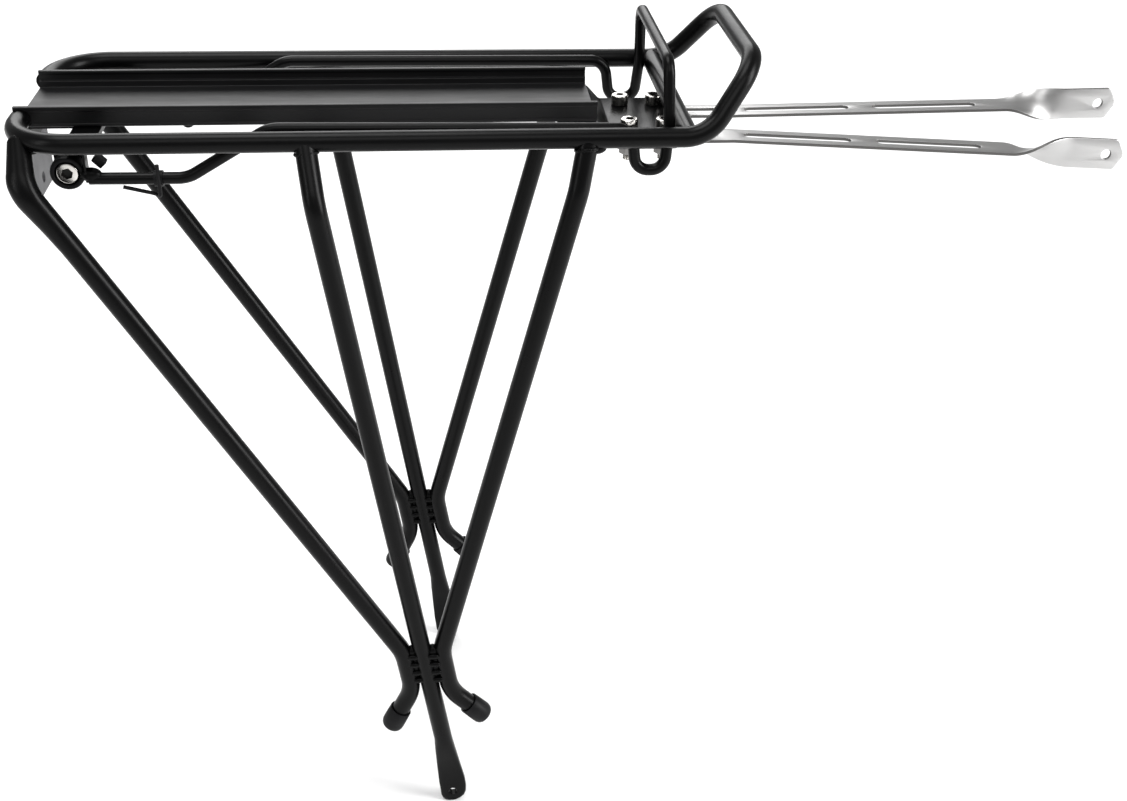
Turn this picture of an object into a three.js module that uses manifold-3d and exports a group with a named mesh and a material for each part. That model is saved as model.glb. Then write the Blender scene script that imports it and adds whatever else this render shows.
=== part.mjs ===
// Rear rack for a bicycle: bent tube frame with six legs, a rail deck, two slotted stays.
// Millimetres. +X towards the front of the bike, +Z up, right side is -Y.
// Origin: midway between the eyelets of the two dropout feet.
import * as THREE from "three";
import Module from "manifold-3d";
import { mergeVertices } from "three/addons/utils/BufferGeometryUtils.js";

const wasm = await Module();
wasm.setup();

// ---- driving dimensions ----
const GAP = 0.3; // clearance kept between touching pieces
const RING_Z = 396; // height of the ring tube's axis above the eyelets
const RING_Y = 60.3; // half spacing of the ring's side tubes
const RING_REAR_X = -191;
const RING_R = 4.75; // 9.5 mm tube
const ROD_R = 2.8;
const ROD_Y = 50;
const LEG_R = 5.04;
const LEG_Y = 75; // half spacing of the legs below their top bend
const HOOP = { footX: 124.8, topX: 147.8, topY: 45, rise: 30.7 };
const CROSS_X = 116;
const DECK = { rear: -193.5, front: 77, halfW: 28, top: 402, floor: 394, sheet: 1.6, wall: 2.2 };
const PLATE = { top: 385, thick: 3 };
const BOLT = { x: [94.2, 111.5], y: 18, shank: 5, head: 8.5, headH: 5, length: 16 };
const STAY = { y: 18, z: 380.7, width: 16, thick: 1.6, slot: 55, slotW: 5.3, pitch: 68, hole: 5.3 };
const BOSS = { x: -168, z: 378.3, inner: 42.3, depth: 8.5 };
const TAB = { x: -193.5, halfW: 21, top: 391.8, bottom: 349.5, thick: 2, holeZ: 357 };

const SIDES = [["right", -1], ["left", 1]];

// ---- helpers ----
const v3 = (x, y, z) => new THREE.Vector3(x, y, z);

// A sampled centre line whose parameter runs evenly over its sample points.
class BentLine extends THREE.Curve {
  constructor(points, tangents) {
    super();
    this.points = points;
    this.tangents = tangents;
  }
  pick(list, t) {
    const at = t * (list.length - 1);
    const i = Math.min(Math.floor(at), list.length - 2);
    return list[i].clone().lerp(list[i + 1], at - i);
  }
  getPoint(t) {
    return this.pick(this.points, t);
  }
  getPointAt(u) {
    return this.getPoint(u);
  }
  getTangentAt(u) {
    return this.pick(this.tangents, u).normalize();
  }
}

// Straight runs joined by circular bends: corners are [x, y, z, bendRadius].
function bend(corners, perArc = Math.PI / 9) {
  const pts = corners.map((c) => v3(c[0], c[1], c[2]));
  const dir = pts.slice(1).map((p, i) => p.clone().sub(pts[i]).normalize());
  const points = [pts[0]];
  const tangents = [dir[0]];
  for (let i = 1; i < pts.length - 1; i++) {
    const [d0, d1] = [dir[i - 1], dir[i]];
    const angle = d0.angleTo(d1);
    if (angle < 0.01) continue;
    const r = corners[i][3];
    const start = pts[i].clone().addScaledVector(d0, -r * Math.tan(angle / 2));
    const axis = d0.clone().cross(d1).normalize();
    const centre = start.clone().addScaledVector(axis.clone().cross(d0), r);
    const n = Math.max(2, Math.ceil(angle / perArc));
    for (let k = 0; k <= n; k++) {
      const turn = (angle * k) / n;
      points.push(start.clone().sub(centre).applyAxisAngle(axis, turn).add(centre));
      tangents.push(d0.clone().applyAxisAngle(axis, turn));
    }
  }
  points.push(pts[pts.length - 1]);
  tangents.push(dir[dir.length - 1]);
  return new BentLine(points, tangents);
}

function polygon(r, sides) {
  const pts = [];
  for (let i = 0; i < sides; i++) {
    const a = (2 * Math.PI * (i + 0.5)) / sides;
    pts.push(new THREE.Vector2(r * Math.cos(a), r * Math.sin(a)));
  }
  return new THREE.Shape(pts);
}

function tube(corners, r, sides = 12, perArc = Math.PI / 9) {
  const line = bend(corners, perArc);
  const steps = line.points.length - 1;
  return new THREE.ExtrudeGeometry(polygon(r, sides), { steps, extrudePath: line });
}

// A flat outline [[a, b], ...] given thickness; plane "xy", "xz" or "yz", from `from` up to `to`.
function sheet(outline, plane, from, to, holes = []) {
  const shape = new THREE.Shape(outline.map(([a, b]) => new THREE.Vector2(a, b)));
  shape.holes = holes;
  const g = new THREE.ExtrudeGeometry(shape, { depth: to - from, bevelEnabled: false });
  if (plane === "xz") g.rotateX(Math.PI / 2).translate(0, to, 0);
  else if (plane === "yz") g.rotateX(Math.PI / 2).rotateZ(Math.PI / 2).translate(from, 0, 0);
  else g.translate(0, 0, from);
  return g;
}

function circleHole(x, y, r, sides = 12) {
  const pts = [];
  for (let i = 0; i < sides; i++) {
    const a = (2 * Math.PI * i) / sides;
    pts.push(new THREE.Vector2(x + r * Math.cos(a), y + r * Math.sin(a)));
  }
  return new THREE.Path(pts);
}

// Turned piece about Z from a profile [[radius, z], ...].
function turned(profile, sides = 16) {
  return new THREE.LatheGeometry(profile.map(([r, z]) => new THREE.Vector2(r, z)), sides)
    .rotateX(Math.PI / 2);
}

function solid(geometry) {
  const g = geometry.clone();
  g.deleteAttribute("normal");
  g.deleteAttribute("uv");
  const m = mergeVertices(g, 1e-4);
  const index = m.index.array;
  const position = m.attributes.position.array;
  return new wasm.Manifold(
    new wasm.Mesh({ numProp: 3, vertProperties: Float32Array.from(position),
      triVerts: Uint32Array.from(index) }));
}

function geometryOf(manifold) {
  const mesh = manifold.getMesh();
  const g = new THREE.BufferGeometry();
  g.setAttribute("position", new THREE.BufferAttribute(Float32Array.from(mesh.vertProperties), 3));
  g.setIndex(new THREE.BufferAttribute(Uint32Array.from(mesh.triVerts), 1));
  g.computeVertexNormals();
  return g;
}

function cut(base, ...tools) {
  return geometryOf(tools.reduce((m, t) => m.subtract(solid(t)), solid(base)));
}

function join(base, ...more) {
  return geometryOf(more.reduce((m, t) => m.add(solid(t)), solid(base)));
}

const rack = new THREE.Group();
rack.name = "rear_rack";

function add(name, geometry, color) {
  const mesh = new THREE.Mesh(geometry, new THREE.MeshStandardMaterial({ color }));
  mesh.name = name;
  rack.add(mesh);
}

const BLACK = 0x101113;
const STEEL = 0xc8c8c6;
const RUBBER = 0x1b1b1b;

// ---- tube frame ----
// Half of the ring, from the end that butts against the deck's rail to the front hoop.
function ringCorners(side, growth = 0) {
  const y = side * RING_Y;
  return [
    [RING_REAR_X, side * (DECK.halfW + GAP - growth), RING_Z, 0],
    [RING_REAR_X, y, RING_Z, 27],
    [HOOP.footX, y, RING_Z, 21],
    [HOOP.topX, side * HOOP.topY, RING_Z + HOOP.rise, 20],
  ];
}

function ringTube(r, growth = 0) {
  const there = ringCorners(-1, growth);
  const back = ringCorners(1, growth).reverse();
  return tube([...there, ...back], r, 12);
}

function crossTube() {
  const half = RING_Y - RING_R - GAP;
  const blank = tube([[CROSS_X, -half, RING_Z, 0], [CROSS_X, half, RING_Z, 0]], RING_R, 12);
  return cut(blank, ringTube(RING_R + GAP, 1));
}

// Half of the guard rod: boss, rise to the deck level, hook below the ring, upright, top bar.
function rodCorners(side) {
  const y = side * ROD_Y;
  const bottom = RING_Z - 18.9;
  return [
    [BOSS.x + 9.4, y, RING_Z - 20.3, 0],
    [-114.5, y, RING_Z - 20.6, 16],
    [-76, y, RING_Z + 2.6, 16],
    [90.3, side * 51.7, RING_Z + 1.4, 9],
    [93.1, side * 52, bottom, 6.7],
    [106.6, side * 52, bottom, 6.7],
    [108.3, side * 49.5, RING_Z + 2, 40],
    [107.2, side * 45.5, RING_Z + 31, 8],
  ];
}

function guardRod() {
  return tube([...rodCorners(-1), ...rodCorners(1).reverse()], ROD_R, 10, Math.PI / 7);
}

// ---- legs ----
const LEGS = {
  front: {
    top: [68.9, 60.5, 394], knee: [64.7, 66, 372], kneeR: 30,
    low: [-4.5, 74, 105.8], run: [-0.1, 77.6], end: [17.5, 59.3],
  },
  rear: {
    top: [-185.8, 53.5, 395], knee: [-183, 68, 378], kneeR: 20, swell: 3,
    low: [-25.3, 74.9, 106.6], run: [-21.1, 79.7], end: [-33, 55.4],
  },
};
const CAP_BEND = 24;

function sideLeg(kind, side) {
  const leg = LEGS[kind];
  const s = (p) => [p[0], side * p[1], p[2]];
  const corners = [
    [...s(leg.top), 0],
    [...s(leg.knee), leg.kneeR],
    [...s(leg.low), 30],
    [leg.run[0], side * LEG_Y, leg.run[1], CAP_BEND],
    [leg.end[0], side * LEG_Y, leg.end[1], 0],
  ];
  const blank = tube(corners, LEG_R, 12, Math.PI / 12);
  if (leg.swell) swellBack(blank, bend(corners, Math.PI / 12).points, leg.swell);
  return cut(blank, ringTube(RING_R + GAP, 1));
}

// Widens a leg's rear side where its upper bend was squashed.
function swellBack(geometry, centres, most) {
  const p = geometry.attributes.position;
  for (let i = 0; i < p.count; i++) {
    const v = v3(p.getX(i), p.getY(i), p.getZ(i));
    const near = centres.reduce((a, b) => (v.distanceTo(a) < v.distanceTo(b) ? a : b));
    const back = Math.max(0, near.x - v.x) / LEG_R;
    const { smoothstep } = THREE.MathUtils;
    const share = smoothstep(near.z, 352, 374) * (1 - smoothstep(near.z, 379, 392));
    p.setX(i, v.x - most * back * share);
  }
}

// Middle leg: runs on past the cluster and ends in a flattened foot with the dropout eyelet.
function middleLeg(side) {
  const y = side * LEG_Y;
  const shank = tube([
    [-59.3, side * 60.5, 394, 0],
    [-55.9, y, 371, 20],
    [-5, y, 42, 0],
  ], LEG_R, 12, Math.PI / 12);
  const foot = sheet([
    [-9.3, 31], [-9.2, 23], [-8.5, 15.7], [-7.4, 7.5], [-6.2, -2], [-4.6, -5.4], [-2, -7], [3, -7],
    [6, -5], [7.6, -1.5], [7.9, 2.5], [6.9, 9.5], [4.6, 21], [2.2, 31],
  ], "xz", y - 2.2, y + 2.2);
  const taper = sheet([
    [-9.8, 43], [-9.3, 30], [2.4, 30], [0.4, 38], [-0.8, 43],
  ], "xz", y - 3.4, y + 3.4);
  const eyelet = turned([[0, -6], [2.7, -6], [2.7, 6], [0, 6]], 16)
    .rotateX(Math.PI / 2).translate(0, y, 0);
  return cut(join(shank, foot, taper), eyelet, ringTube(RING_R + GAP, 1));
}

// Moulded cap pushed over a leg's bent end.
function endCap(kind, side) {
  const leg = LEGS[kind];
  const end = v3(leg.end[0], side * LEG_Y, leg.end[1]);
  const dir = v3(leg.end[0] - leg.run[0], 0, leg.end[1] - leg.run[1]).normalize();
  const cap = turned([
    [0, GAP], [5.4, GAP], [5.4, -11], [6.1, -11], [6.3, -2], [6.1, 0.4], [5.2, 2], [3.4, 3], [0, 3],
  ], 16);
  cap.applyQuaternion(new THREE.Quaternion().setFromUnitVectors(v3(0, 0, 1), dir));
  return cap.translate(end.x, end.y, end.z);
}

// ---- deck ----
// Channel with two upright rails; each rail has an inner step and a small outer lip.
function deckPlate() {
  const { halfW: w, top, floor, sheet: t, wall } = DECK;
  const half = [
    [w, floor - t], [w, floor - 0.2], [w - 0.5, floor], [w - 0.5, top - 2.4], [w, top - 2],
    [w, top], [w - wall - 0.4, top], [w - wall - 0.4, top - 1.4], [w - wall + 0.3, top - 1.8],
    [w - wall + 0.3, floor + 3.4], [w - wall - 1, floor + 3], [w - wall - 1, floor],
  ];
  const mirrored = half.map(([y, z]) => [-y, z]).reverse();
  const channel = sheet([...half, ...mirrored], "yz", DECK.rear, DECK.front);
  return cut(channel, ringTube(RING_R + GAP, 1));
}

// Joggled plate: under the deck, down to the bolts, up again to the cross tube.
function frontPlate() {
  const t = PLATE.thick;
  const under = DECK.floor - DECK.sheet - GAP;
  const down = PLATE.top;
  const profile = [
    [58, under], [DECK.front + 1, under], [84.5, down], [116, down], [119.5, RING_Z - RING_R - 1.2],
    [121.8, RING_Z - RING_R - 1.2], [118.4, down - t], [83.5, down - t], [75.2, under - 2],
    [58, under - 2],
  ];
  const w = DECK.halfW;
  const plate = sheet(profile, "xz", -w, w);
  const holes = boltCentres().map(([x, y]) =>
    turned([[0, -10], [2.8, -10], [2.8, 10], [0, 10]], 12).translate(x, y, down - 1));
  return cut(plate, ...holes);
}

function boltCentres() {
  return SIDES.flatMap(([, s]) => BOLT.x.map((x) => [x, s * BOLT.y]));
}

// Cap screw about Z, head's underside at z = 0, with a hexagon socket.
function capScrew(shank, head, headH, length) {
  const r = head / 2;
  const body = turned([
    [0, -length], [shank / 2 - 0.5, -length], [shank / 2, -length + 0.5], [shank / 2, 0], [r, 0],
    [r, headH - 0.5], [r - 0.5, headH], [0, headH],
  ], 16);
  const socket = new THREE.CylinderGeometry(shank * 0.46, shank * 0.46, headH, 6)
    .rotateX(Math.PI / 2).translate(0, 0, headH);
  return cut(body, socket);
}

function clampBar(side) {
  const y = side * STAY.y;
  const top = STAY.z - STAY.thick / 2 - GAP;
  return sheet([[87.5, y - 7], [118, y - 7], [118, y + 7], [87.5, y + 7]], "xy", top - 2.6, top,
    BOLT.x.map((x) => circleHole(x, y, 2.8)));
}

function hexNut(x, y) {
  const top = STAY.z - STAY.thick / 2 - 2.6 - 2 * GAP;
  const outline = [];
  for (let i = 0; i < 6; i++) {
    const a = (Math.PI * i) / 3;
    outline.push([x + 4.6 * Math.cos(a), y + 4.6 * Math.sin(a)]);
  }
  return sheet(outline, "xy", top - 4, top, [circleHole(x, y, 2.8)]);
}

// ---- stays ----
// Flat slotted strip that twists a quarter turn into an upright blade with an eyelet.
// x0 is the rear end; `droop` is the angle by which it is bent down ahead of the bracket.
function stay(side, x0, droop) {
  const { width, thick, slot, slotW, pitch, hole } = STAY;
  const edge = 8;
  const flat = edge + 2 * pitch + slot + 14;
  const twist = 36;
  const length = edge + 2 * pitch + slot + 76;
  const stops = [0, edge + slot + 3, edge + slot + 6.5, edge + slot + 10, flat];
  for (let i = 1; i <= 12; i++) stops.push(flat + (twist * i) / 12);
  stops.push(length);
  const strip = new THREE.BoxGeometry(1, width, thick, stops.length - 1, 1, 1);
  const p = strip.attributes.position;
  for (let i = 0; i < p.count; i++) {
    p.setX(i, stops[Math.round((p.getX(i) + 0.5) * (stops.length - 1))]);
  }
  const slots = [0, 1, 2].map((k) => roundSlot(edge + k * pitch, slot, slotW));
  const tools = [
    ...slots,
    sheet([[length - 3.8, 8.1], [length - 3.8, 10], [length + 1, 10], [length + 1, 1.2],
      [length, 1.2]], "xy", -9, 9),
    sheet([[length - 3.8, -8.1], [length, -1.2], [length + 1, -1.2], [length + 1, -10],
      [length - 3.8, -10]], "xy", -9, 9),
    turned([[0, -9], [hole / 2, -9], [hole / 2, 9], [0, 9]], 14).translate(length - 9, 0, 0),
  ];
  const blank = cut(strip, ...tools);
  const q = blank.attributes.position;
  const kneeX = edge + slot + 6.5;
  for (let i = 0; i < q.count; i++) {
    const x = q.getX(i);
    const turn = side * (Math.PI / 2) * THREE.MathUtils.smoothstep(x, flat, flat + twist);
    const [y, z] = [q.getY(i), q.getZ(i)];
    const along = Math.max(0, x - kneeX);
    q.setXYZ(i, x - along * (1 - Math.cos(droop)), y * Math.cos(turn) - z * Math.sin(turn),
      y * Math.sin(turn) + z * Math.cos(turn) - along * Math.sin(droop));
  }
  blank.translate(x0, side * STAY.y, STAY.z);
  blank.computeVertexNormals();
  return blank;
}

function roundSlot(x, length, width) {
  const outline = [];
  const r = width / 2;
  for (let i = 0; i <= 6; i++) {
    const a = Math.PI / 2 + (Math.PI * i) / 6;
    outline.push([x + r + r * Math.cos(a), r * Math.sin(a)]);
  }
  for (let i = 0; i <= 6; i++) {
    const a = -Math.PI / 2 + (Math.PI * i) / 6;
    outline.push([x + length - r + r * Math.cos(a), r * Math.sin(a)]);
  }
  return sheet(outline, "xy", -9, 9);
}

// ---- rear fittings ----
// Turns a piece built about Z so that its +Z end faces outwards on one side.
function outward(geometry, side, y) {
  return geometry.rotateX(side * -Math.PI / 2).translate(BOSS.x, side * y, BOSS.z);
}

function bossCup(side) {
  const d = BOSS.depth;
  return outward(turned([
    [3.3, 0], [6.2, 0], [7.8, 1.6], [7.8, d - 0.8], [7, d], [5.7, d], [5.7, d - 5], [3.3, d - 5], [3.3, 0],
  ], 20), side, BOSS.inner);
}

function bossScrew(side) {
  return outward(capScrew(6, 10, 4.4, 14), side, BOSS.inner + BOSS.depth - 5 + GAP);
}

// Bar under the deck with a hanging ear at each end for the boss screws, and a tongue to the rear
// whose lip carries the light plate.
function bossBracket() {
  const top = DECK.floor - DECK.sheet - GAP;
  const outer = BOSS.inner - GAP;
  const bar = sheet([[-168, -54.6], [-155, -54.6], [-155, 54.6], [-168, 54.6]], "xy", top - 3, top);
  const lipX = TAB.x + TAB.thick / 2 + GAP;
  const w = TAB.halfW;
  const tongue = sheet([[lipX, -w], [-160, -w], [-160, w], [lipX, w]], "xy", top - 3, top);
  const lip = sheet([[lipX, -w], [lipX + 3, -w], [lipX + 3, w], [lipX, w]], "xy", top - 11, top);
  const [a, b] = [BOSS.x - 7, BOSS.x + 7];
  const ears = SIDES.map(([, s]) => {
    const inner = s < 0 ? -outer : outer - 3;
    return sheet([
      [a, top], [a, BOSS.z - 3], [a + 4, BOSS.z - 8], [b - 4, BOSS.z - 8], [b, BOSS.z - 3], [b, top],
    ], "xz", inner, inner + 3);
  });
  const bore = new THREE.CylinderGeometry(3.3, 3.3, 120, 12).translate(BOSS.x, 0, BOSS.z);
  return cut(join(bar, tongue, lip, ...ears), bore);
}

// Upright strap that ties the rod's rear end to the bracket.
function rodStrap(side) {
  const y = side * 49;
  return sheet([
    [y - 3, RING_Z - 22], [y + 3, RING_Z - 22], [y + 3, DECK.floor - 5.2], [y - 3, DECK.floor - 5.2],
  ], "yz", BOSS.x + 8.1, BOSS.x + 9.1);
}

// Small square stop set on edge below the bracket's bar.
function stopLug(side) {
  const block = new THREE.BoxGeometry(4.1, 5, 5.6).rotateY(-0.75);
  return block.translate(-154.3, side * 44, 382.2);
}

function lightPlate() {
  const { x, halfW: w, top, bottom, thick } = TAB;
  const c = 4;
  return sheet([
    [-w, top], [-w, bottom + c], [-w + c, bottom], [w - c, bottom], [w, bottom + c], [w, top],
  ], "yz", x - thick / 2, x + thick / 2, [circleHole(0, TAB.holeZ, 2.7, 12)]);
}

// Wire guide for a lamp cable: runs along under the rod, then stands up beside it.
function cableClip() {
  const z = RING_Z - 20.6;
  const y = -ROD_Y - ROD_R - 0.9 - GAP;
  return tube([
    [-144, -ROD_Y, z - ROD_R - 1.2, 0], [-130, -ROD_Y, z - 7.5, 3], [-127, y, z - 7.5, 1.9],
    [-127, y, z + 8, 0],
  ], 0.9, 8);
}

// ---- assembly ----
add("ring_tube", ringTube(RING_R), BLACK);
add("cross_tube", crossTube(), BLACK);
add("guard_rod", guardRod(), BLACK);
for (const [name, side] of SIDES) {
  add(`leg_front_${name}`, sideLeg("front", side), BLACK);
  add(`leg_middle_${name}`, middleLeg(side), BLACK);
  add(`leg_rear_${name}`, sideLeg("rear", side), BLACK);
  add(`cap_front_${name}`, endCap("front", side), RUBBER);
  add(`cap_rear_${name}`, endCap("rear", side), RUBBER);
}
add("deck_plate", deckPlate(), BLACK);
add("front_plate", frontPlate(), BLACK);
add("boss_bracket", bossBracket(), BLACK);
add("light_plate", lightPlate(), BLACK);
for (const [name, side] of SIDES) {
  BOLT.x.forEach((x, i) => {
    const end = i ? "front" : "rear";
    const y = side * BOLT.y;
    const screw = capScrew(BOLT.shank, BOLT.head, BOLT.headH, BOLT.length);
    add(`stay_bolt_${name}_${end}`, screw.translate(x, y, PLATE.top + GAP), STEEL);
    add(`stay_nut_${name}_${end}`, hexNut(x, y), STEEL);
  });
  add(`clamp_bar_${name}`, clampBar(side), BLACK);
}
add("stay_right", stay(-1, 75.9, 0.0611), STEEL);
add("stay_left", stay(1, 83.6, -0.013), STEEL);
for (const [name, side] of SIDES) {
  add(`boss_cup_${name}`, bossCup(side), RUBBER);
  add(`boss_screw_${name}`, bossScrew(side), STEEL);
  add(`rod_strap_${name}`, rodStrap(side), BLACK);
  add(`stop_lug_${name}`, stopLug(side), BLACK);
}
add("cable_clip", cableClip(), BLACK);

export default rack;
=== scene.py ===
"""Looks of the rear rack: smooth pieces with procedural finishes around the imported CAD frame."""
import math

import bmesh
import bpy
from mathutils import Matrix, Vector


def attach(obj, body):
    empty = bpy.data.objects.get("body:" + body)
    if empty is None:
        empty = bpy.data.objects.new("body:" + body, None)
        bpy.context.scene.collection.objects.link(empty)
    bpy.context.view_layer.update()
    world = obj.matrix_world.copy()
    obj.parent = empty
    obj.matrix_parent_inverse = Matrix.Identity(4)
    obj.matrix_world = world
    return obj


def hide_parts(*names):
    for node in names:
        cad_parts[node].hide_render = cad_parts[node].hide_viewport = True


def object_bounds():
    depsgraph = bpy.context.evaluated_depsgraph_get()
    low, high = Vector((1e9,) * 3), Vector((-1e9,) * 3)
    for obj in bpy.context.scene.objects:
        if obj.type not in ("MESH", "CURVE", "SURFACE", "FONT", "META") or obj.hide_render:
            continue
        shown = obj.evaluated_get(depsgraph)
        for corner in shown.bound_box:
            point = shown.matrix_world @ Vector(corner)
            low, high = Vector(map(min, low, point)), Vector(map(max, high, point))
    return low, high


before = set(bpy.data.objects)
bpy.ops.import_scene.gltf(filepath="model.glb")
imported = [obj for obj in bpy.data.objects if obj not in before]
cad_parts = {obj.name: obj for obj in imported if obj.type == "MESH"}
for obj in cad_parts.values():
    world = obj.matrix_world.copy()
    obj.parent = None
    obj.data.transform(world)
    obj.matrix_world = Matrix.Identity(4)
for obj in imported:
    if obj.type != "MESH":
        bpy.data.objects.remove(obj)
cad_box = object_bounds()

MM = 0.001
SIDES = (("right", -1), ("left", 1))

# ---- driving dimensions, in millimetres, as in the CAD source ----
GAP = 0.3
RING = dict(z=396, y=60.3, rear=-191, r=4.75)
HOOP = dict(foot=124.8, top=147.8, y=45, rise=30.7)
ROD = dict(y=50, r=2.8)
LEG_R = 5.04
LEG_Y = 75
DECK = dict(rear=-193.5, front=77, half=28, top=402, floor=394, sheet=1.6, wall=2.2)
PLATE = dict(top=385, thick=3)
BOLT_X = (94.2, 111.5)
BOLT = dict(y=18, shank=5, head=8.5, head_h=5, length=16)
STAY = dict(y=18, z=380.7, width=16, thick=1.6, slot=55, slot_w=5.3, pitch=68, hole=5.3,
            edge=8, before_twist=14, twist=36, blade=26)
CLAMP = dict(rear=87.5, front=118, half=7, thick=2.6)
CROSS_X = 116
FOOT = dict(half=7.6, thick=2.2, eyelet=2.7)
LUG = dict(x=-154.3, y=44, z=382.2, half_x=2.05, half_z=2.8, tilt=-0.75)
BRACKET = dict(rear=-168, front=-155, half=54.6, thick=3)
BOSS = dict(x=-168, z=378.3, inner=42.3, depth=8.5)
TAB = dict(x=-193.5, half=21, top=391.8, bottom=349.5, thick=2, hole_z=357)
ROUND = 40  # facets round a smooth tube


# ---- materials ----
def shader(name, color, roughness, metallic=0.0):
    """A new material and its principled shader."""
    m = bpy.data.materials.new(name)
    m.use_nodes = True
    b = m.node_tree.nodes["Principled BSDF"]
    b.inputs["Base Color"].default_value = (*color, 1)
    b.inputs["Roughness"].default_value = roughness
    b.inputs["Metallic"].default_value = metallic
    return m, b


def noise(m, scale, stretch=(1, 1, 1), detail=4):
    """A noise texture in the piece's own coordinates; returns its factor output."""
    n = m.node_tree.nodes
    coords = n.new("ShaderNodeTexCoord")
    mapping = n.new("ShaderNodeMapping")
    mapping.inputs["Scale"].default_value = stretch
    tex = n.new("ShaderNodeTexNoise")
    tex.inputs["Scale"].default_value = scale
    tex.inputs["Detail"].default_value = detail
    m.node_tree.links.new(coords.outputs["Object"], mapping.inputs["Vector"])
    m.node_tree.links.new(mapping.outputs["Vector"], tex.inputs["Vector"])
    return tex.outputs["Fac"]


def spread(m, factor, low, high, target):
    """Maps a 0..1 factor to low..high and feeds it to a shader input."""
    r = m.node_tree.nodes.new("ShaderNodeMapRange")
    r.inputs["From Min"].default_value = 0.3
    r.inputs["From Max"].default_value = 0.7
    r.inputs["To Min"].default_value = low
    r.inputs["To Max"].default_value = high
    m.node_tree.links.new(factor, r.inputs["Value"])
    m.node_tree.links.new(r.outputs["Result"], target)


def bump(m, b, factor, strength, distance):
    node = m.node_tree.nodes.new("ShaderNodeBump")
    node.inputs["Strength"].default_value = strength
    node.inputs["Distance"].default_value = distance
    m.node_tree.links.new(factor, node.inputs["Height"])
    m.node_tree.links.new(node.outputs["Normal"], b.inputs["Normal"])


def paint():
    m, b = shader("frame_paint", (0.0012, 0.0012, 0.0013), 0.3)
    spread(m, noise(m, 60), 0.27, 0.35, b.inputs["Roughness"])
    bump(m, b, noise(m, 900, detail=2), 0.12, 0.0002)
    b.inputs["Specular IOR Level"].default_value = 0.12
    return m


def satin_paint():
    m, b = shader("deck_satin", (0.003, 0.003, 0.0033), 0.42)
    b.inputs["Specular IOR Level"].default_value = 0.22
    spread(m, noise(m, 40, (1, 4, 4)), 0.38, 0.47, b.inputs["Roughness"])
    bump(m, b, noise(m, 700, (0.3, 1, 1), 3), 0.15, 0.0002)
    return m


def grey_metal():
    m, b = shader("light_plate_metal", (0.10, 0.10, 0.105), 0.45, 0.3)
    spread(m, noise(m, 80), 0.4, 0.5, b.inputs["Roughness"])
    bump(m, b, noise(m, 900), 0.1, 0.0002)
    return m


def stainless():
    m, b = shader("stainless", (0.68, 0.66, 0.63), 0.18, 1.0)
    spread(m, noise(m, 300), 0.14, 0.22, b.inputs["Roughness"])
    return m


def stay_steel():
    m, b = shader("stay_steel", (0.45, 0.447, 0.444), 0.36, 1.0)
    spread(m, noise(m, 500, (0.03, 1, 1)), 0.33, 0.4, b.inputs["Roughness"])
    bump(m, b, noise(m, 900, (0.02, 1, 1)), 0.03, 0.0001)
    return m


def painted_socket_shade():
    """Painted shade: dark paint for the inside of a hexagon socket, where shade falls in the recess."""
    return shader("painted_socket_shade", (0.012, 0.011, 0.01), 0.6)[0]


def sheared_edge_and_shade():
    """Rough sheared edge of the stays and of their slots; its dark colour is painted shade for the shaded
    slot walls, and its roughness and bump are the real sheared texture.
    """
    m, b = shader("sheared_edge_and_shade", (0.11, 0.108, 0.105), 0.5, 0.8)
    bump(m, b, noise(m, 1200), 0.2, 0.0002)
    return m


def nut_painted_shade():
    """Painted shade: stainless darkened for the nuts under the clamp bars, where the bars shade them."""
    return shader("nut_painted_shade", (0.22, 0.215, 0.21), 0.32, 1.0)[0]


def plastic():
    m, b = shader("black_plastic", (0.0045, 0.0045, 0.005), 0.5)
    b.inputs["Specular IOR Level"].default_value = 0.15
    spread(m, noise(m, 150), 0.42, 0.58, b.inputs["Roughness"])
    bump(m, b, noise(m, 1400), 0.2, 0.0002)
    return m


def weld_paint():
    m, b = shader("weld_paint", (0.0015, 0.0015, 0.0016), 0.33)
    b.inputs["Specular IOR Level"].default_value = 0.09
    bump(m, b, noise(m, 500), 0.35, 0.0006)
    return m


MATERIALS = {
    "frame_paint": paint(), "deck_satin": satin_paint(), "light_plate_metal": grey_metal(),
    "stainless": stainless(), "stay_steel": stay_steel(), "black_plastic": plastic(),
}
WELD = weld_paint()
SOCKET_SHADE = painted_socket_shade()
NUT_PAINTED_SHADE = nut_painted_shade()
SHEARED_EDGE_AND_SHADE = sheared_edge_and_shade()


# ---- mesh helpers ----
def piece(name, verts, faces, slot, body="frame", cad=(), smooth=30, material=None):
    """A named mesh object in the row frame from millimetre vertices."""
    mesh = bpy.data.meshes.new(name)
    mesh.from_pydata([tuple(c * MM for c in v) for v in verts], [], faces)
    bm = bmesh.new()
    bm.from_mesh(mesh)
    bmesh.ops.remove_doubles(bm, verts=bm.verts, dist=1e-7)
    bmesh.ops.recalc_face_normals(bm, faces=bm.faces)
    bm.to_mesh(mesh)
    bm.free()
    o = bpy.data.objects.new(name, mesh)
    bpy.context.scene.collection.objects.link(o)
    return finish_piece(o, slot, body, cad, smooth, material)


def finish_piece(o, slot, body, cad, smooth, material=None):
    o.data.materials.clear()
    o.data.materials.append(material or MATERIALS[slot])
    for p in o.data.polygons:
        p.use_smooth = True
    o.data.set_sharp_from_angle(angle=math.radians(smooth))
    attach(o, body)
    if cad:
        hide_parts(*cad)
    return o


def bevel(o, width, segments=3, angle=30):
    b = o.modifiers.new("edge", "BEVEL")
    b.width = width * MM
    b.segments = segments
    b.limit_method = "ANGLE"
    b.angle_limit = math.radians(angle)
    return o


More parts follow.
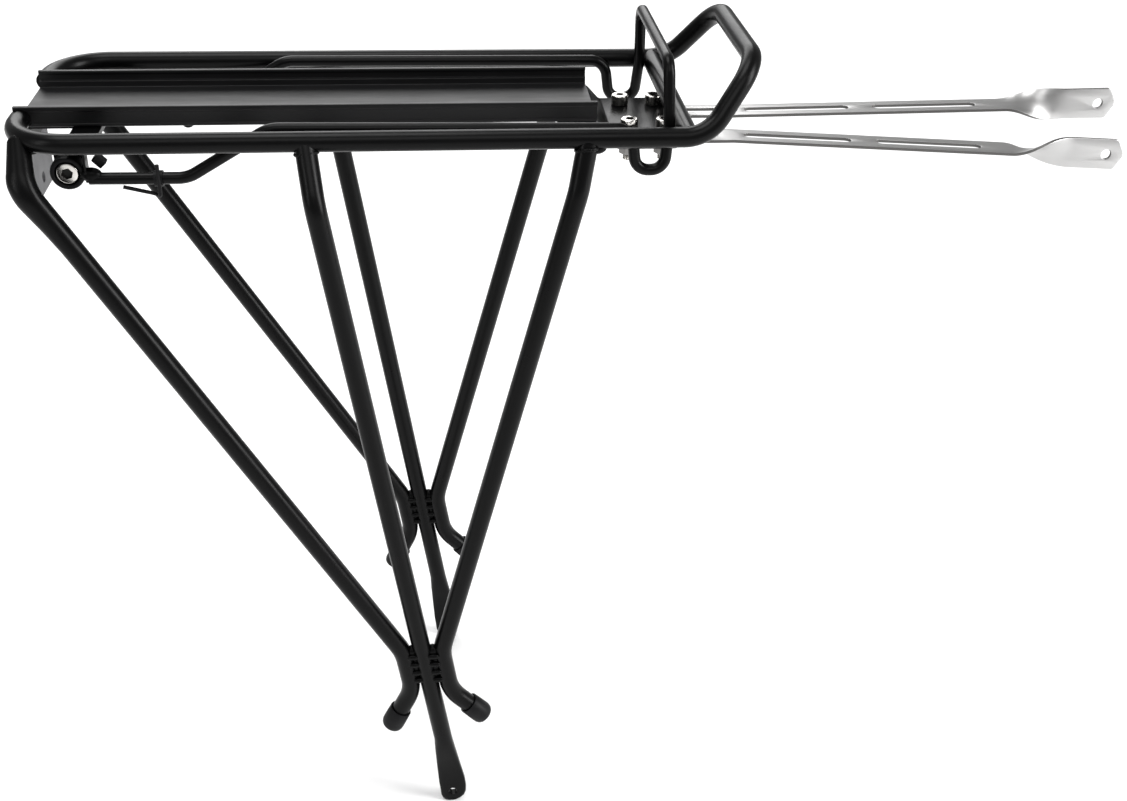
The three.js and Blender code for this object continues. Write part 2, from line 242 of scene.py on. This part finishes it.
def bend_line(corners, per_arc=math.radians(5), step=12.0):
    """Straight runs joined by circular bends: a list of (point, direction)."""
    pts = [Vector(c[:3]) for c in corners]
    dirs = [(b - a).normalized() for a, b in zip(pts, pts[1:])]
    line = [(pts[0], dirs[0])]

    def run_to(p, d):
        a = line[-1][0]
        n = max(1, int((p - a).length / step))
        line.extend((a.lerp(p, k / n), d) for k in range(1, n + 1))

    for i in range(1, len(pts) - 1):
        d0, d1 = dirs[i - 1], dirs[i]
        angle = d0.angle(d1)
        if angle < 0.01:
            continue
        r = corners[i][3]
        start = pts[i] - d0 * (r * math.tan(angle / 2))
        axis = d0.cross(d1).normalized()
        centre = start + axis.cross(d0) * r
        run_to(start, d0)
        n = max(3, math.ceil(angle / per_arc))
        for k in range(1, n + 1):
            turn = Matrix.Rotation(angle * k / n, 3, axis)
            line.append((centre + turn @ (start - centre), turn @ d0))
    run_to(pts[-1], dirs[-1])
    return line


def sweep(line, section, first=None):
    """Sections carried along a line without twisting. section(i, n) gives (side, up) offsets."""
    verts, faces = [], []
    d = line[0][1]
    up = first or (Vector((0, 1, 0)) if abs(d.y) < 0.9 else Vector((0, 0, 1)))
    up = (up - d * up.dot(d)).normalized()
    n = len(line)
    m = 0
    for i, (p, t) in enumerate(line):
        if i:
            turn = line[i - 1][1].rotation_difference(t)
            up = turn @ up
            up = (up - t * up.dot(t)).normalized()
        side = t.cross(up)
        ring = section(i, n)
        m = len(ring)
        verts.extend(p + side * a + up * b for a, b in ring)
    for i in range(n - 1):
        for k in range(m):
            a, b = i * m + k, i * m + (k + 1) % m
            faces.append((a, b, b + m, a + m))
    faces.append(tuple(range(m)))
    faces.append(tuple((n - 1) * m + k for k in range(m)))
    return verts, faces


def circle(r, count=ROUND):
    turns = [2 * math.pi * k / count for k in range(count)]
    return [(r * math.cos(a), r * math.sin(a)) for a in turns]


def tube(name, corners, r, slot, cad=(), **more):
    ring = circle(r)
    verts, faces = sweep(bend_line(corners), lambda i, n: ring)
    return piece(name, verts, faces, slot, cad=cad, smooth=50, **more)


def lathe(profile, count=48):
    """A turned solid about Z from [radius, z] points, closed where it meets the axis."""
    verts, faces = [], []
    for r, z in profile:
        for k in range(count):
            a = 2 * math.pi * k / count
            verts.append(Vector((r * math.cos(a), r * math.sin(a), z)))
    for i in range(len(profile) - 1):
        for k in range(count):
            a, b = i * count + k, i * count + (k + 1) % count
            faces.append((a, b, b + count, a + count))
    return verts, faces


def prism(outline, low, high, place):
    """An outline given thickness; place(a, b, c) gives the row-frame point."""
    n = len(outline)
    verts = [place(a, b, low) for a, b in outline] + [place(a, b, high) for a, b in outline]
    faces = [tuple(reversed(range(n))), tuple(range(n, 2 * n))]
    faces += [(k, (k + 1) % n, (k + 1) % n + n, k + n) for k in range(n)]
    return verts, faces


def on_xy(a, b, c):
    return Vector((a, b, c))


def on_xz(a, b, c):
    return Vector((a, c, b))


def on_yz(a, b, c):
    return Vector((c, a, b))


def rounded(outline, radii, per=6):
    """Corner points of a flat outline swapped for arcs of the given radii."""
    out = []
    n = len(outline)
    for i, (corner, r) in enumerate(zip(outline, radii)):
        p = Vector(corner)
        a, b = Vector(outline[i - 1]) - p, Vector(outline[(i + 1) % n]) - p
        a.normalize()
        b.normalize()
        half = a.angle(b) / 2
        if r <= 0 or half > 1.55:
            out.append(tuple(p))
            continue
        reach = r / math.tan(half)
        centre = p + (a + b).normalized() * (r / math.sin(half))
        s, e = p + a * reach - centre, p + b * reach - centre
        sweep_angle = math.atan2(s.x * e.y - s.y * e.x, s.dot(e))
        for k in range(per + 1):
            turn = Matrix.Rotation(sweep_angle * k / per, 2)
            out.append(tuple(centre + turn @ s))
    return out


def cutter(verts, faces):
    """A helper mesh that cuts another piece; removed once the cut is applied."""
    mesh = bpy.data.meshes.new("cutter")
    mesh.from_pydata([tuple(c * MM for c in v) for v in verts], [], faces)
    bm = bmesh.new()
    bm.from_mesh(mesh)
    bmesh.ops.holes_fill(bm, edges=bm.edges)
    bmesh.ops.recalc_face_normals(bm, faces=bm.faces)
    bm.to_mesh(mesh)
    bm.free()
    o = bpy.data.objects.new("cutter", mesh)
    bpy.context.scene.collection.objects.link(o)
    return o


def carve(o, *tools, smooth=30):
    """Subtracts helper meshes from a piece, and applies the result."""
    for t in tools:
        b = o.modifiers.new("cut", "BOOLEAN")
        b.object = t
        b.solver = "EXACT"
    bake(o, smooth)
    for t in tools:
        bpy.data.objects.remove(t)
    return o


def paint_faces(o, material, faces):
    """Gives some faces of a piece a second material."""
    o.data.materials.append(material)
    for f in faces:
        f.material_index = len(o.data.materials) - 1


def bake(o, smooth=30):
    """Applies a piece's modifiers to its mesh."""
    bpy.context.view_layer.update()
    graph = bpy.context.evaluated_depsgraph_get()
    mesh = bpy.data.meshes.new_from_object(o.evaluated_get(graph))
    o.modifiers.clear()
    o.data = mesh
    for p in o.data.polygons:
        p.use_smooth = True
    o.data.set_sharp_from_angle(angle=math.radians(smooth))
    return o


def bar(centre, r, half, axis="z", count=36):
    """A round cutting rod."""
    verts, faces = prism(circle(r, count), -half, half, on_xy)
    turn = {"x": Matrix.Rotation(math.pi / 2, 3, "Y"), "y": Matrix.Rotation(math.pi / 2, 3, "X"),
            "z": Matrix.Identity(3)}[axis]
    return cutter([turn @ v + Vector(centre) for v in verts], faces)


# ---- tube frame ----
def ring_corners(side):
    y, z, x = side * RING["y"], RING["z"], RING["rear"]
    return [
        (x, side * (DECK["half"] - 0.2), z, 0), (x, y, z, 27), (HOOP["foot"], y, z, 21),
        (HOOP["top"], side * HOOP["y"], z + HOOP["rise"], 20),
    ]


def ring_tube():
    corners = ring_corners(-1) + ring_corners(1)[::-1]
    tube("ring_tube_smooth", corners, RING["r"], "frame_paint", cad=("ring_tube",))
    half = RING["y"] - 1.5
    tube("cross_tube_smooth", [(CROSS_X, -half, RING["z"], 0), (CROSS_X, half, RING["z"], 0)],
         RING["r"], "frame_paint", cad=("cross_tube",))


def rod_corners(side):
    y, z = side * ROD["y"], RING["z"]
    return [
        (BOSS["x"] + 9.4, y, z - 20.3, 0), (-114.5, y, z - 20.6, 16), (-76, y, z + 2.6, 16),
        (90.3, side * 51.7, z + 1.4, 9), (93.1, side * 52, z - 18.9, 6.7),
        (106.6, side * 52, z - 18.9, 6.7),
        (108.3, side * 49.5, z + 2, 40), (107.2, side * 45.5, z + 31, 8),
    ]


def guard_rod():
    tube("guard_rod_smooth", rod_corners(-1) + rod_corners(1)[::-1], ROD["r"], "frame_paint",
         cad=("guard_rod",))


# ---- legs ----
LEGS = {
    "front": dict(top=(68.9, 60.5, 394), knee=(64.7, 66, 372), knee_r=30,
                  low=(-4.5, 74, 105.8), run=(-0.1, 77.6), end=(17.5, 59.3)),
    "rear": dict(top=(-185.8, 53.5, 395), knee=(-183, 68, 378), knee_r=20, swell=3,
                 low=(-25.3, 74.9, 106.6), run=(-21.1, 79.7), end=(-33, 55.4)),
}


def on_side(p, side):
    return (p[0], side * p[1], p[2])


def side_leg(kind, name, side):
    leg = LEGS[kind]
    corners = [
        (*on_side(leg["top"], side), 0), (*on_side(leg["knee"], side), leg["knee_r"]),
        (*on_side(leg["low"], side), 30), (leg["run"][0], side * LEG_Y, leg["run"][1], 24),
        (leg["end"][0], side * LEG_Y, leg["end"][1], 0),
    ]
    line = bend_line(corners)
    ring = circle(LEG_R)
    verts, faces = sweep(line, lambda i, n: ring)
    if "swell" in leg:
        verts = [swell_back(v, line, leg["swell"]) for v in verts]
    piece(f"leg_{kind}_{name}_smooth", verts, faces, "frame_paint", smooth=50,
          cad=(f"leg_{kind}_{name}",))


def smoothstep(x, low, high):
    t = min(1, max(0, (x - low) / (high - low)))
    return t * t * (3 - 2 * t)


def swell_back(v, line, most):
    """Widens a leg's rear side where its upper bend was squashed."""
    near = min((p for p, _ in line), key=lambda p: (p - v).length)
    share = smoothstep(near.z, 352, 374) * (1 - smoothstep(near.z, 379, 392))
    return Vector((v.x - most * share * max(0, near.x - v.x) / LEG_R, v.y, v.z))


def foot_section(z):
    """Half width along the leg's flat and half thickness across it, at a height of the foot."""
    full, flat = FOOT["half"], FOOT["thick"]
    thick = flat + (LEG_R - flat) * smoothstep(z, 14, 44)
    if z < 2:
        return full * max(0.02, 1 - ((2 - z) / 9) ** 3) ** (1 / 3), thick
    return full + (LEG_R - full) * min(1, max(0, z - 8) / 34), thick


def squircle(a, b, power, count=ROUND):
    out = []
    for k in range(count):
        t = 2 * math.pi * k / count
        c, s = math.cos(t), math.sin(t)
        out.append((a * math.copysign(abs(c) ** (2 / power), c),
                    b * math.copysign(abs(s) ** (2 / power), s)))
    return out


def middle_leg(name, side):
    y = side * LEG_Y
    line = bend_line([(-59.3, side * 60.5, 394, 0), (-55.9, y, 371, 20), (-5, y, 42, 0)])
    down = [(x, z) for x, z in ((-4.6, 38), (-4.0, 33), (-3.3, 28), (-2.5, 22), (-1.5, 15),
                                (-0.5, 8), (0.2, 2), (0.3, -2), (0.3, -4.6), (0.3, -6.2), (0.3, -6.9))]
    lean = line[-1][1]
    for (x, z) in down:
        line.append((Vector((x, y, z)), lean))

    def section(i, n):
        z = line[i][0].z
        if z > 43:
            return squircle(LEG_R, LEG_R, 2)
        wide, thick = foot_section(z)
        power = 2 + 2.5 * min(1, max(0, (43 - z) / 25))
        return squircle(wide, thick, power)

    verts, faces = sweep(line, section, first=Vector((0, 1, 0)))
    o = piece(f"leg_middle_{name}_smooth", verts, faces, "frame_paint", cad=(f"leg_middle_{name}",),
              smooth=50)
    carve(o, bar((0, y, 0), FOOT["eyelet"], 8, "y"), smooth=40)


def leg_cap(kind, name, side):
    leg = LEGS[kind]
    end = Vector((leg["end"][0], side * LEG_Y, leg["end"][1]))
    way = Vector((leg["end"][0] - leg["run"][0], 0, leg["end"][1] - leg["run"][1])).normalized()
    profile = [(0, 0.4), (5.4, 0.3), (5.4, -11), (5.95, -11), (6.1, -10.8), (6.25, -5), (6.3, -2),
               (6.2, -0.2), (5.8, 1.2), (5.2, 2), (4.3, 2.65), (3.4, 3), (0, 3)]
    verts, faces = lathe(profile)
    turn = Vector((0, 0, 1)).rotation_difference(way)
    piece(f"cap_{kind}_{name}_smooth", [turn @ v + end for v in verts], faces, "black_plastic",
          cad=(f"cap_{kind}_{name}",), smooth=40)


def weld_bead(name, centre, axis, r, thick):
    """A rippled bead laid round a joint, about the given axis."""
    steps, ripple, ripple_turn = 72, 0.16, 2.1
    axis = Vector(axis).normalized()
    side = axis.orthogonal().normalized()
    up = axis.cross(side)
    line = []
    for k in range(steps + 1):
        a = 2 * math.pi * k / steps
        d = side * math.cos(a) + up * math.sin(a)
        t = (-side * math.sin(a) + up * math.cos(a)).normalized()
        line.append((Vector(centre) + d * r, t))

    def section(i, n):
        return circle(thick * (1 + ripple * math.sin(i * ripple_turn)), 10)

    verts, faces = sweep(line, section, first=axis)
    return piece(name, verts, faces, "frame_paint", smooth=80, material=WELD)


def leg_welds():
    tops = {"front": (68.4, 61.4, 391.2), "middle": (-58.9, 61.6, 391.0)}
    for kind, top in tops.items():
        for name, side in SIDES:
            weld_bead(f"weld_{kind}_top_{name}", on_side(top, side), (0.12, side * 0.25, -1), 5.0, 0.9)
    for name, side in SIDES:
        cluster_welds(name, side)
        blobs(f"weld_rear_top_{name}", [
            ((-185.7, side * 53.4, 394.4), (5.15, 5.15, 4.2)), ((-181.5, side * 52.5, 391), (4, 4, 2.4)),
        ])
        blobs(f"rod_end_weld_{name}", [((-157.5, side * ROD["y"], 377.6), (5, 3.2, 3.4))])
        blobs(f"front_leg_gusset_{name}", [((72.9, side * 60.5, 391.6), (4.9, 3.2, 3))])
        blobs(f"deck_rivet_{name}", [((-116, side * 23, 391.6), (2.6, 2.6, 1.7))], "deck_satin")


def cluster_welds(name, side):
    """A web in each gap between the three legs, with a column of beads on both faces."""
    parts = []
    for gap_x, lean in ((-9.0, 0.13), (-19.9, 0.16)):
        middle = gap_x + 8 * lean
        parts.append(((middle, side * LEG_Y, 96), (2.4, 3.4, 12.5)))
        parts.append(((gap_x - 3 * lean, side * LEG_Y, 107), (3.2, 3.2, 4)))
        for k in range(4):
            z = 105.5 - 5.6 * k
            for face in (-1, 1):
                parts.append(((gap_x + (104 - z) * lean, side * LEG_Y + 3.7 * face, z), (3.3, 1.1, 1.6)))
    blobs(f"weld_cluster_{name}", parts)


def blobs(name, parts, slot="frame_paint"):
    """Rounded lumps, each a centre and three radii, as one piece."""
    verts, faces = [], []
    for centre, radii in parts:
        bm = bmesh.new()
        bmesh.ops.create_uvsphere(bm, u_segments=20, v_segments=12, radius=1)
        first = len(verts)
        verts += [Vector(centre) + Vector([a * b for a, b in zip(v.co, radii)]) for v in bm.verts]
        faces += [tuple(first + v.index for v in f.verts) for f in bm.faces]
        bm.free()
    return piece(name, verts, faces, slot, smooth=80, material=WELD)


# ---- deck ----
def deck_profile():
    w, top, floor, t, wall = (DECK[k] for k in ("half", "top", "floor", "sheet", "wall"))
    half = [
        (w, floor - t, 0.6), (w, floor - 0.2, 0.2), (w - 0.5, floor, 0.2), (w - 0.5, top - 2.4, 0.2),
        (w, top - 2, 0.2), (w, top, 0.5), (w - wall - 0.4, top, 0.5), (w - wall - 0.4, top - 1.4, 0.2),
        (w - wall + 0.3, top - 1.8, 0.2), (w - wall + 0.3, floor + 3.4, 0.2),
        (w - wall - 1, floor + 3, 0.3), (w - wall - 1, floor, 0.4),
    ]
    mirrored = [(-y, z, r) for y, z, r in reversed(half)]
    points = half + mirrored
    return rounded([p[:2] for p in points], [p[2] for p in points], 4)


def deck_plate():
    verts, faces = prism(deck_profile(), DECK["rear"], DECK["front"], on_yz)
    o = piece("deck_plate_smooth", verts, faces, "deck_satin", cad=("deck_plate",), smooth=35)
    ring = circle(RING["r"] + GAP, 32)
    verts, faces = sweep(bend_line(ring_corners(-1) + ring_corners(1)[::-1]), lambda i, n: ring)
    carve(o, cutter(verts, faces), smooth=35)
    bevel(o, 0.25, 2, 50)


def front_plate():
    t, w = PLATE["thick"], DECK["half"]
    under, down = DECK["floor"] - DECK["sheet"] - GAP, PLATE["top"]
    tube_z = RING["z"] - RING["r"] - 1.2
    points = [
        (58, under, 0), (DECK["front"] + 1, under, 3), (84.5, down, 3), (116, down, 2), (119.5, tube_z, 0),
        (121.8, tube_z, 0), (118.4, down - t, 4), (83.5, down - t, 4), (75.2, under - 2, 3),
        (58, under - 2, 0),
    ]
    outline = rounded([p[:2] for p in points], [p[2] for p in points], 6)
    verts, faces = prism(outline, -w, w, on_xz)
    o = piece("front_plate_smooth", verts, faces, "frame_paint", cad=("front_plate",), smooth=35)
    holes = [bar((x, s * BOLT["y"], down - 1), 2.8, 10) for x in BOLT_X for _, s in SIDES]
    carve(o, *holes, smooth=35)
    bevel(o, 0.4, 3, 40)


# ---- fasteners ----
def cap_screw(name, turn, place, shank, head, head_h, length, cad):
    """Socket cap screw about Z with a rounded head edge and a knurled side."""
    r = head / 2
    profile = [(0, -length), (shank / 2 - 0.5, -length), (shank / 2, -length + 0.5)]
    z = -length + 0.8
    while z < -1.2:
        profile += [(shank / 2, z), (shank / 2 - 0.32, z + 0.4)]
        z += 0.8
    profile += [(shank / 2 - 0.1, -0.3), (shank / 2, 0), (r - 0.15, 0), (r, 0.2), (r, head_h - 0.75)]
    arc = [(r - 0.75 + 0.75 * math.cos(a), head_h - 0.75 + 0.75 * math.sin(a))
           for a in (math.radians(d) for d in (20, 40, 60, 75, 90))]
    profile += arc + [(shank * 0.52, head_h), (0, head_h)]
    count = 72
    verts, faces = lathe(profile, count)
    knurl = []
    for k, v in enumerate(verts):
        out = math.hypot(v.x, v.y)
        if out > r - 0.01 and 0.3 < v.z < head_h - 0.5 and k % 2:
            v = Vector((v.x * 0.975, v.y * 0.975, v.z))
        knurl.append(v)
    o = piece(name, [turn @ v + place for v in knurl], faces, "stainless", cad=cad, smooth=40)
    corners = [math.radians(60 * k + 13) for k in range(6)]
    hexagon = [(shank * 0.46 * math.cos(a), shank * 0.46 * math.sin(a)) for a in corners]
    verts, faces = prism(hexagon, head_h / 2, head_h + 2, on_xy)
    carve(o, cutter([turn @ v + place for v in verts], faces), smooth=40)
    back = turn.transposed()
    local = [(p, back @ (p.center / MM - place)) for p in o.data.polygons]
    inside = [p for p, c in local if 0 < c.z < head_h - 0.05 and math.hypot(c.x, c.y) < shank * 0.47]
    # Painted shade: the socket's inside faces take the dark socket material.
    paint_faces(o, SOCKET_SHADE, inside)


def hex_nut(name, x, y, cad):
    top = STAY["z"] - STAY["thick"] / 2 - CLAMP["thick"] - 2 * GAP
    points = [(x + 4.6 * math.cos(math.radians(60 * k)), y + 4.6 * math.sin(math.radians(60 * k)))
              for k in range(6)]
    verts, faces = prism(points, top - 4, top, on_xy)
    # Painted shade: the nut takes a darkened steel for the shade under the clamp bar.
    o = piece(name, verts, faces, "stainless", cad=cad, material=NUT_PAINTED_SHADE)
    carve(o, bar((x, y, top), 2.8, 8))
    bevel(o, 0.35, 3)


def clamp_bar(name, side):
    y = side * BOLT["y"]
    top = STAY["z"] - STAY["thick"] / 2 - GAP
    rear, front, h = CLAMP["rear"], CLAMP["front"], CLAMP["half"]
    outline = rounded([(rear, y - h), (front, y - h), (front, y + h), (rear, y + h)], [2] * 4)
    verts, faces = prism(outline, top - CLAMP["thick"], top, on_xy)
    o = piece(f"clamp_bar_{name}_smooth", verts, faces, "deck_satin", cad=(f"clamp_bar_{name}",))
    carve(o, *[bar((x, y, top), 2.8, 8) for x in BOLT_X])
    bevel(o, 0.3)


def fasteners():
    for name, side in SIDES:
        for end, x in zip(("rear", "front"), BOLT_X):
            place = Vector((x, side * BOLT["y"], PLATE["top"] + GAP))
            turn = Matrix.Rotation(0.5 + x * side, 3, "Z")
            cap_screw(f"stay_bolt_{name}_{end}_smooth", turn, place, BOLT["shank"], BOLT["head"],
                      BOLT["head_h"], BOLT["length"], (f"stay_bolt_{name}_{end}",))
            hex_nut(f"stay_nut_{name}_{end}_smooth", x, side * BOLT["y"], (f"stay_nut_{name}_{end}",))
        clamp_bar(name, side)


# ---- stays ----
def stay_outline(length, width):
    """A strip whose front end, the blade's tip, has two chamfered corners."""
    h = width / 2
    return rounded([(0, -h), (length - 3.8, -h), (length, -1.2), (length, 1.2), (length - 3.8, h),
                    (0, h)], [1.2, 2, 1, 1, 2, 1.2])


def slot_outline(x, length, width):
    r = width / 2
    left = [(x + r + r * math.cos(a), r * math.sin(a))
            for a in (math.radians(90 + 180 * k / 14) for k in range(15))]
    right = [(x + length - r + r * math.cos(a), r * math.sin(a))
             for a in (math.radians(-90 + 180 * k / 14) for k in range(15))]
    return left + right


def stay(name, side, x0, droop):
    """A slotted strip: x0 is its rear end, and droop the angle it is bent down by ahead of the plate."""
    edge, slot, thick = STAY["edge"], STAY["slot"], STAY["thick"]
    flat = edge + 2 * STAY["pitch"] + slot + STAY["before_twist"]
    length = flat + STAY["twist"] + STAY["blade"]
    verts, faces = prism(stay_outline(length, STAY["width"]), -thick / 2, thick / 2, on_xy)
    o = piece(f"stay_{name}_smooth", verts, faces, "stay_steel", body=f"stay_{name}",
              cad=(f"stay_{name}",))
    tools = []
    for k in range(3):
        outline = slot_outline(edge + k * STAY["pitch"], slot, STAY["slot_w"])
        verts, faces = prism(outline, -5, 5, on_xy)
        tools.append(cutter(verts, faces))
    tools.append(bar((length - 9, 0, 0), STAY["hole"] / 2, 5))
    carve(o, *tools)
    # Painted shade: the strip's side faces and slot walls take a darker colour.
    paint_faces(o, SHEARED_EDGE_AND_SHADE, [p for p in o.data.polygons if abs(p.normal.z) < 0.5])
    cut_for_bends(o, flat)
    bevel(o, 0.3, 3, 50)
    bake(o)
    knee = edge + slot + 6.5
    for v in o.data.vertices:
        x, y, z = (c / MM for c in v.co)
        turn = side * (math.pi / 2) * smoothstep(x, flat, flat + STAY["twist"])
        along = max(0, x - knee)
        moved = Vector((
            x - along * (1 - math.cos(droop)) + x0,
            y * math.cos(turn) - z * math.sin(turn) + side * STAY["y"],
            y * math.sin(turn) + z * math.cos(turn) - along * math.sin(droop) + STAY["z"],
        ))
        v.co = moved * MM


def cut_for_bends(o, flat):
    """Splits a stay's faces across at its knee and twist, and along, so that they can bend."""
    after_slot = STAY["edge"] + STAY["slot"]
    across = [after_slot + 3, after_slot + 6.5, after_slot + 10]
    across += [flat + STAY["twist"] * i / 24 for i in range(25)]
    planes = [((x, 0, 0), (1, 0, 0)) for x in across] + [((0, y, 0), (0, 1, 0)) for y in (-4, 4)]
    bm = bmesh.new()
    bm.from_mesh(o.data)
    for place, normal in planes:
        bmesh.ops.bisect_plane(bm, geom=bm.verts[:] + bm.edges[:] + bm.faces[:],
                               plane_co=Vector(place) * MM, plane_no=normal)
    bm.to_mesh(o.data)
    bm.free()


# ---- rear fittings ----
def outward(side, y):
    return Matrix.Rotation(side * -math.pi / 2, 3, "X"), Vector((BOSS["x"], side * y, BOSS["z"]))


def boss_cup(name, side):
    d = BOSS["depth"]
    profile = [(3.3, 0), (6.2, 0), (6.8, 0.3), (7.5, 1), (7.8, 1.7), (7.8, d - 1), (7.6, d - 0.4),
               (7.2, d - 0.05), (6.9, d), (6.1, d), (5.8, d - 0.15), (5.7, d - 0.5), (5.7, d - 5),
               (3.3, d - 5), (3.3, 0)]
    verts, faces = lathe(profile)
    turn, place = outward(side, BOSS["inner"])
    piece(f"boss_cup_{name}_smooth", [turn @ v + place for v in verts], faces, "black_plastic",
          cad=(f"boss_cup_{name}",), smooth=45)


def boss_screw(name, side):
    turn, place = outward(side, BOSS["inner"] + BOSS["depth"] - 5 + GAP)
    cap_screw(f"boss_screw_{name}_smooth", turn, place, 6, 10, 4.4, 14, (f"boss_screw_{name}",))


def boss_bracket():
    top = DECK["floor"] - DECK["sheet"] - GAP
    outer = BOSS["inner"] - GAP
    a, b, z = BOSS["x"] - 7, BOSS["x"] + 7, BOSS["z"]
    rear, front, half = BRACKET["rear"], BRACKET["front"], BRACKET["half"]
    outline = rounded([(rear, -half), (front, -half), (front, half), (rear, half)], [1.5] * 4)
    verts, faces = prism(outline, top - BRACKET["thick"], top, on_xy)
    o = piece("boss_bracket_smooth", verts, faces, "frame_paint", cad=("boss_bracket",))
    bevel(o, 0.4)
    # Painted shade: the tongue's lip is a black sheet hung in front of the light plate's upper part, where
    # the deck shades it.
    lip_x, w = TAB["x"] + TAB["thick"] / 2 + GAP, TAB["half"]
    profile = [(lip_x, top), (lip_x, top - 11), (lip_x + 3, top - 11), (lip_x + 3, top - 3),
               (-160, top - 3), (-160, top)]
    verts, faces = prism(rounded(profile, [2.5, 0, 0, 1.5, 0, 0]), -w, w, on_xz)
    bevel(piece("bracket_tongue_and_shade_lip", verts, faces, "frame_paint"), 0.3)
    for name, side in SIDES:
        low = outer - 3
        ear = rounded([(a, top), (a, z - 3), (a + 4, z - 8), (b - 4, z - 8), (b, z - 3), (b, top)],
                      [1, 3, 3, 3, 3, 1])
        verts, faces = prism(ear, side * low, side * outer, on_xz)
        e = piece(f"boss_ear_{name}", verts, faces, "frame_paint")
        carve(e, bar((BOSS["x"], side * outer, z), 3.3, 10, "y"))
        bevel(e, 0.4)


def rod_strap(name, side):
    y, low, high = side * 49, RING["z"] - 22, DECK["floor"] - 5.2
    outline = rounded([(y - 3, low), (y + 3, low), (y + 3, high), (y - 3, high)], [1.2] * 4)
    verts, faces = prism(outline, BOSS["x"] + 8.1, BOSS["x"] + 9.1, on_yz)
    o = piece(f"rod_strap_{name}_smooth", verts, faces, "frame_paint", cad=(f"rod_strap_{name}",))
    bevel(o, 0.2)


def stop_lug(name, side):
    c, s = math.cos(LUG["tilt"]), math.sin(LUG["tilt"])
    a, b, y = LUG["half_x"], LUG["half_z"], side * LUG["y"]
    square = [(-a, -b), (a, -b), (a, b), (-a, b)]
    spun = [(p * c + q * s + LUG["x"], -p * s + q * c + LUG["z"]) for p, q in square]
    verts, faces = prism(spun, y - 2.5, y + 2.5, on_xz)
    o = piece(f"stop_lug_{name}_smooth", verts, faces, "black_plastic", cad=(f"stop_lug_{name}",))
    bevel(o, 0.5)


def light_plate():
    w, x, t = TAB["half"], TAB["x"], TAB["thick"]
    outline = rounded([(-w, TAB["top"]), (-w, TAB["bottom"] + 4), (-w + 4, TAB["bottom"]),
                       (w - 4, TAB["bottom"]), (w, TAB["bottom"] + 4), (w, TAB["top"])],
                      [1, 3, 3, 3, 3, 1])
    verts, faces = prism(outline, x - t / 2, x + t / 2, on_yz)
    o = piece("light_plate_smooth", verts, faces, "light_plate_metal", cad=("light_plate",))
    carve(o, bar((x, 0, TAB["hole_z"]), 2.7, 6, "x"))
    bevel(o, 0.3)


def cable_clip():
    """A thin tie on the right-hand guard rod, with its tail, and the collar under it."""
    y, r, z = -ROD["y"], ROD["r"], RING["z"] - 20.6
    outside = y - r - 0.9 - GAP
    tie = [(-144, y, z - r - 1.2, 0), (-130, y, z - 7.5, 3), (-127, outside, z - 7.5, 1.9),
           (-127, outside, z + 8, 0)]
    tube("cable_clip_smooth", tie, 0.9, "black_plastic", cad=("cable_clip",))
    tube("cable_clip_collar", [(-129.5, y, z, 0), (-125.5, y, z, 0)], r + 0.9, "black_plastic")


# ---- stage ----
def stage():
    bpy.ops.mesh.primitive_plane_add(size=14, location=(0, 0, cad_box[0].z - 0.0005))
    floor = bpy.context.object
    floor.name = "floor"
    m, b = shader("floor", (0.93, 0.93, 0.93), 0.9)
    b.inputs["Specular IOR Level"].default_value = 0.1
    floor.data.materials.append(m)
    world = bpy.data.worlds.new("studio")
    bpy.context.scene.world = world
    world.use_nodes = True
    background = world.node_tree.nodes["Background"]
    background.inputs["Color"].default_value = (1, 1, 1, 1)
    background.inputs["Strength"].default_value = 0.35
    softbox("right_strip", (2.0, -0.75, 1.15), (0.8, 1.7), 55)
    softbox("top", (-0.4, 0.1, 2.4), (1.1, 1.1), 26)
    softbox("left_strip", (-1.9, -1.3, 1.2), (0.4, 1.6), 10)
    softbox("back", (-0.3, 2.3, 1.75), (2.2, 1.6), 44)
    softbox("front", (0.0, -1.7, 2.1), (1.6, 1.0), 12)
    bpy.context.scene.view_settings.view_transform = "Standard"


def softbox(name, place, size, power):
    lamp = bpy.data.lights.new(name, "AREA")
    lamp.shape = "RECTANGLE"
    lamp.size, lamp.size_y = size
    lamp.energy = power
    o = bpy.data.objects.new(name, lamp)
    o.location = place
    way = Vector((0.0, 0.0, 0.3)) - Vector(place)
    o.rotation_mode = "QUATERNION"
    o.rotation_quaternion = way.to_track_quat("-Z", "Y")
    bpy.context.scene.collection.objects.link(o)


def camera():
    """Beside the right of the rack and above it, looking across, down and slightly forward."""
    yaw, pitch, roll = 0.110597, 0.539785, -0.0274426
    ahead = Vector((math.sin(yaw) * math.cos(pitch), math.cos(yaw) * math.cos(pitch), -math.sin(pitch)))
    right = Vector((math.cos(yaw), -math.sin(yaw), 0))
    down = ahead.cross(right)
    r2 = right * math.cos(roll) + down * math.sin(roll)
    d2 = -right * math.sin(roll) + down * math.cos(roll)
    lens = bpy.data.cameras.new("camera")
    lens.sensor_width = 36
    lens.lens = 44.72
    lens.clip_start = 0.01
    o = bpy.data.objects.new("camera", lens)
    turn = Matrix((r2, -d2, -ahead)).transposed().to_4x4()
    o.matrix_world = Matrix.Translation((-0.00659, -0.66822, 0.62259)) @ turn
    bpy.context.scene.collection.objects.link(o)
    bpy.context.scene.camera = o


ring_tube()
guard_rod()
for leg_name, leg_side in SIDES:
    side_leg("front", leg_name, leg_side)
    side_leg("rear", leg_name, leg_side)
    middle_leg(leg_name, leg_side)
    leg_cap("front", leg_name, leg_side)
    leg_cap("rear", leg_name, leg_side)
leg_welds()
deck_plate()
front_plate()
fasteners()
stay("right", -1, 75.9, 0.0611)
stay("left", 1, 83.6, -0.013)
for boss_name, boss_side in SIDES:
    boss_cup(boss_name, boss_side)
    boss_screw(boss_name, boss_side)
boss_bracket()
for fitting_name, fitting_side in SIDES:
    rod_strap(fitting_name, fitting_side)
    stop_lug(fitting_name, fitting_side)
light_plate()
cable_clip()
stage()
camera()
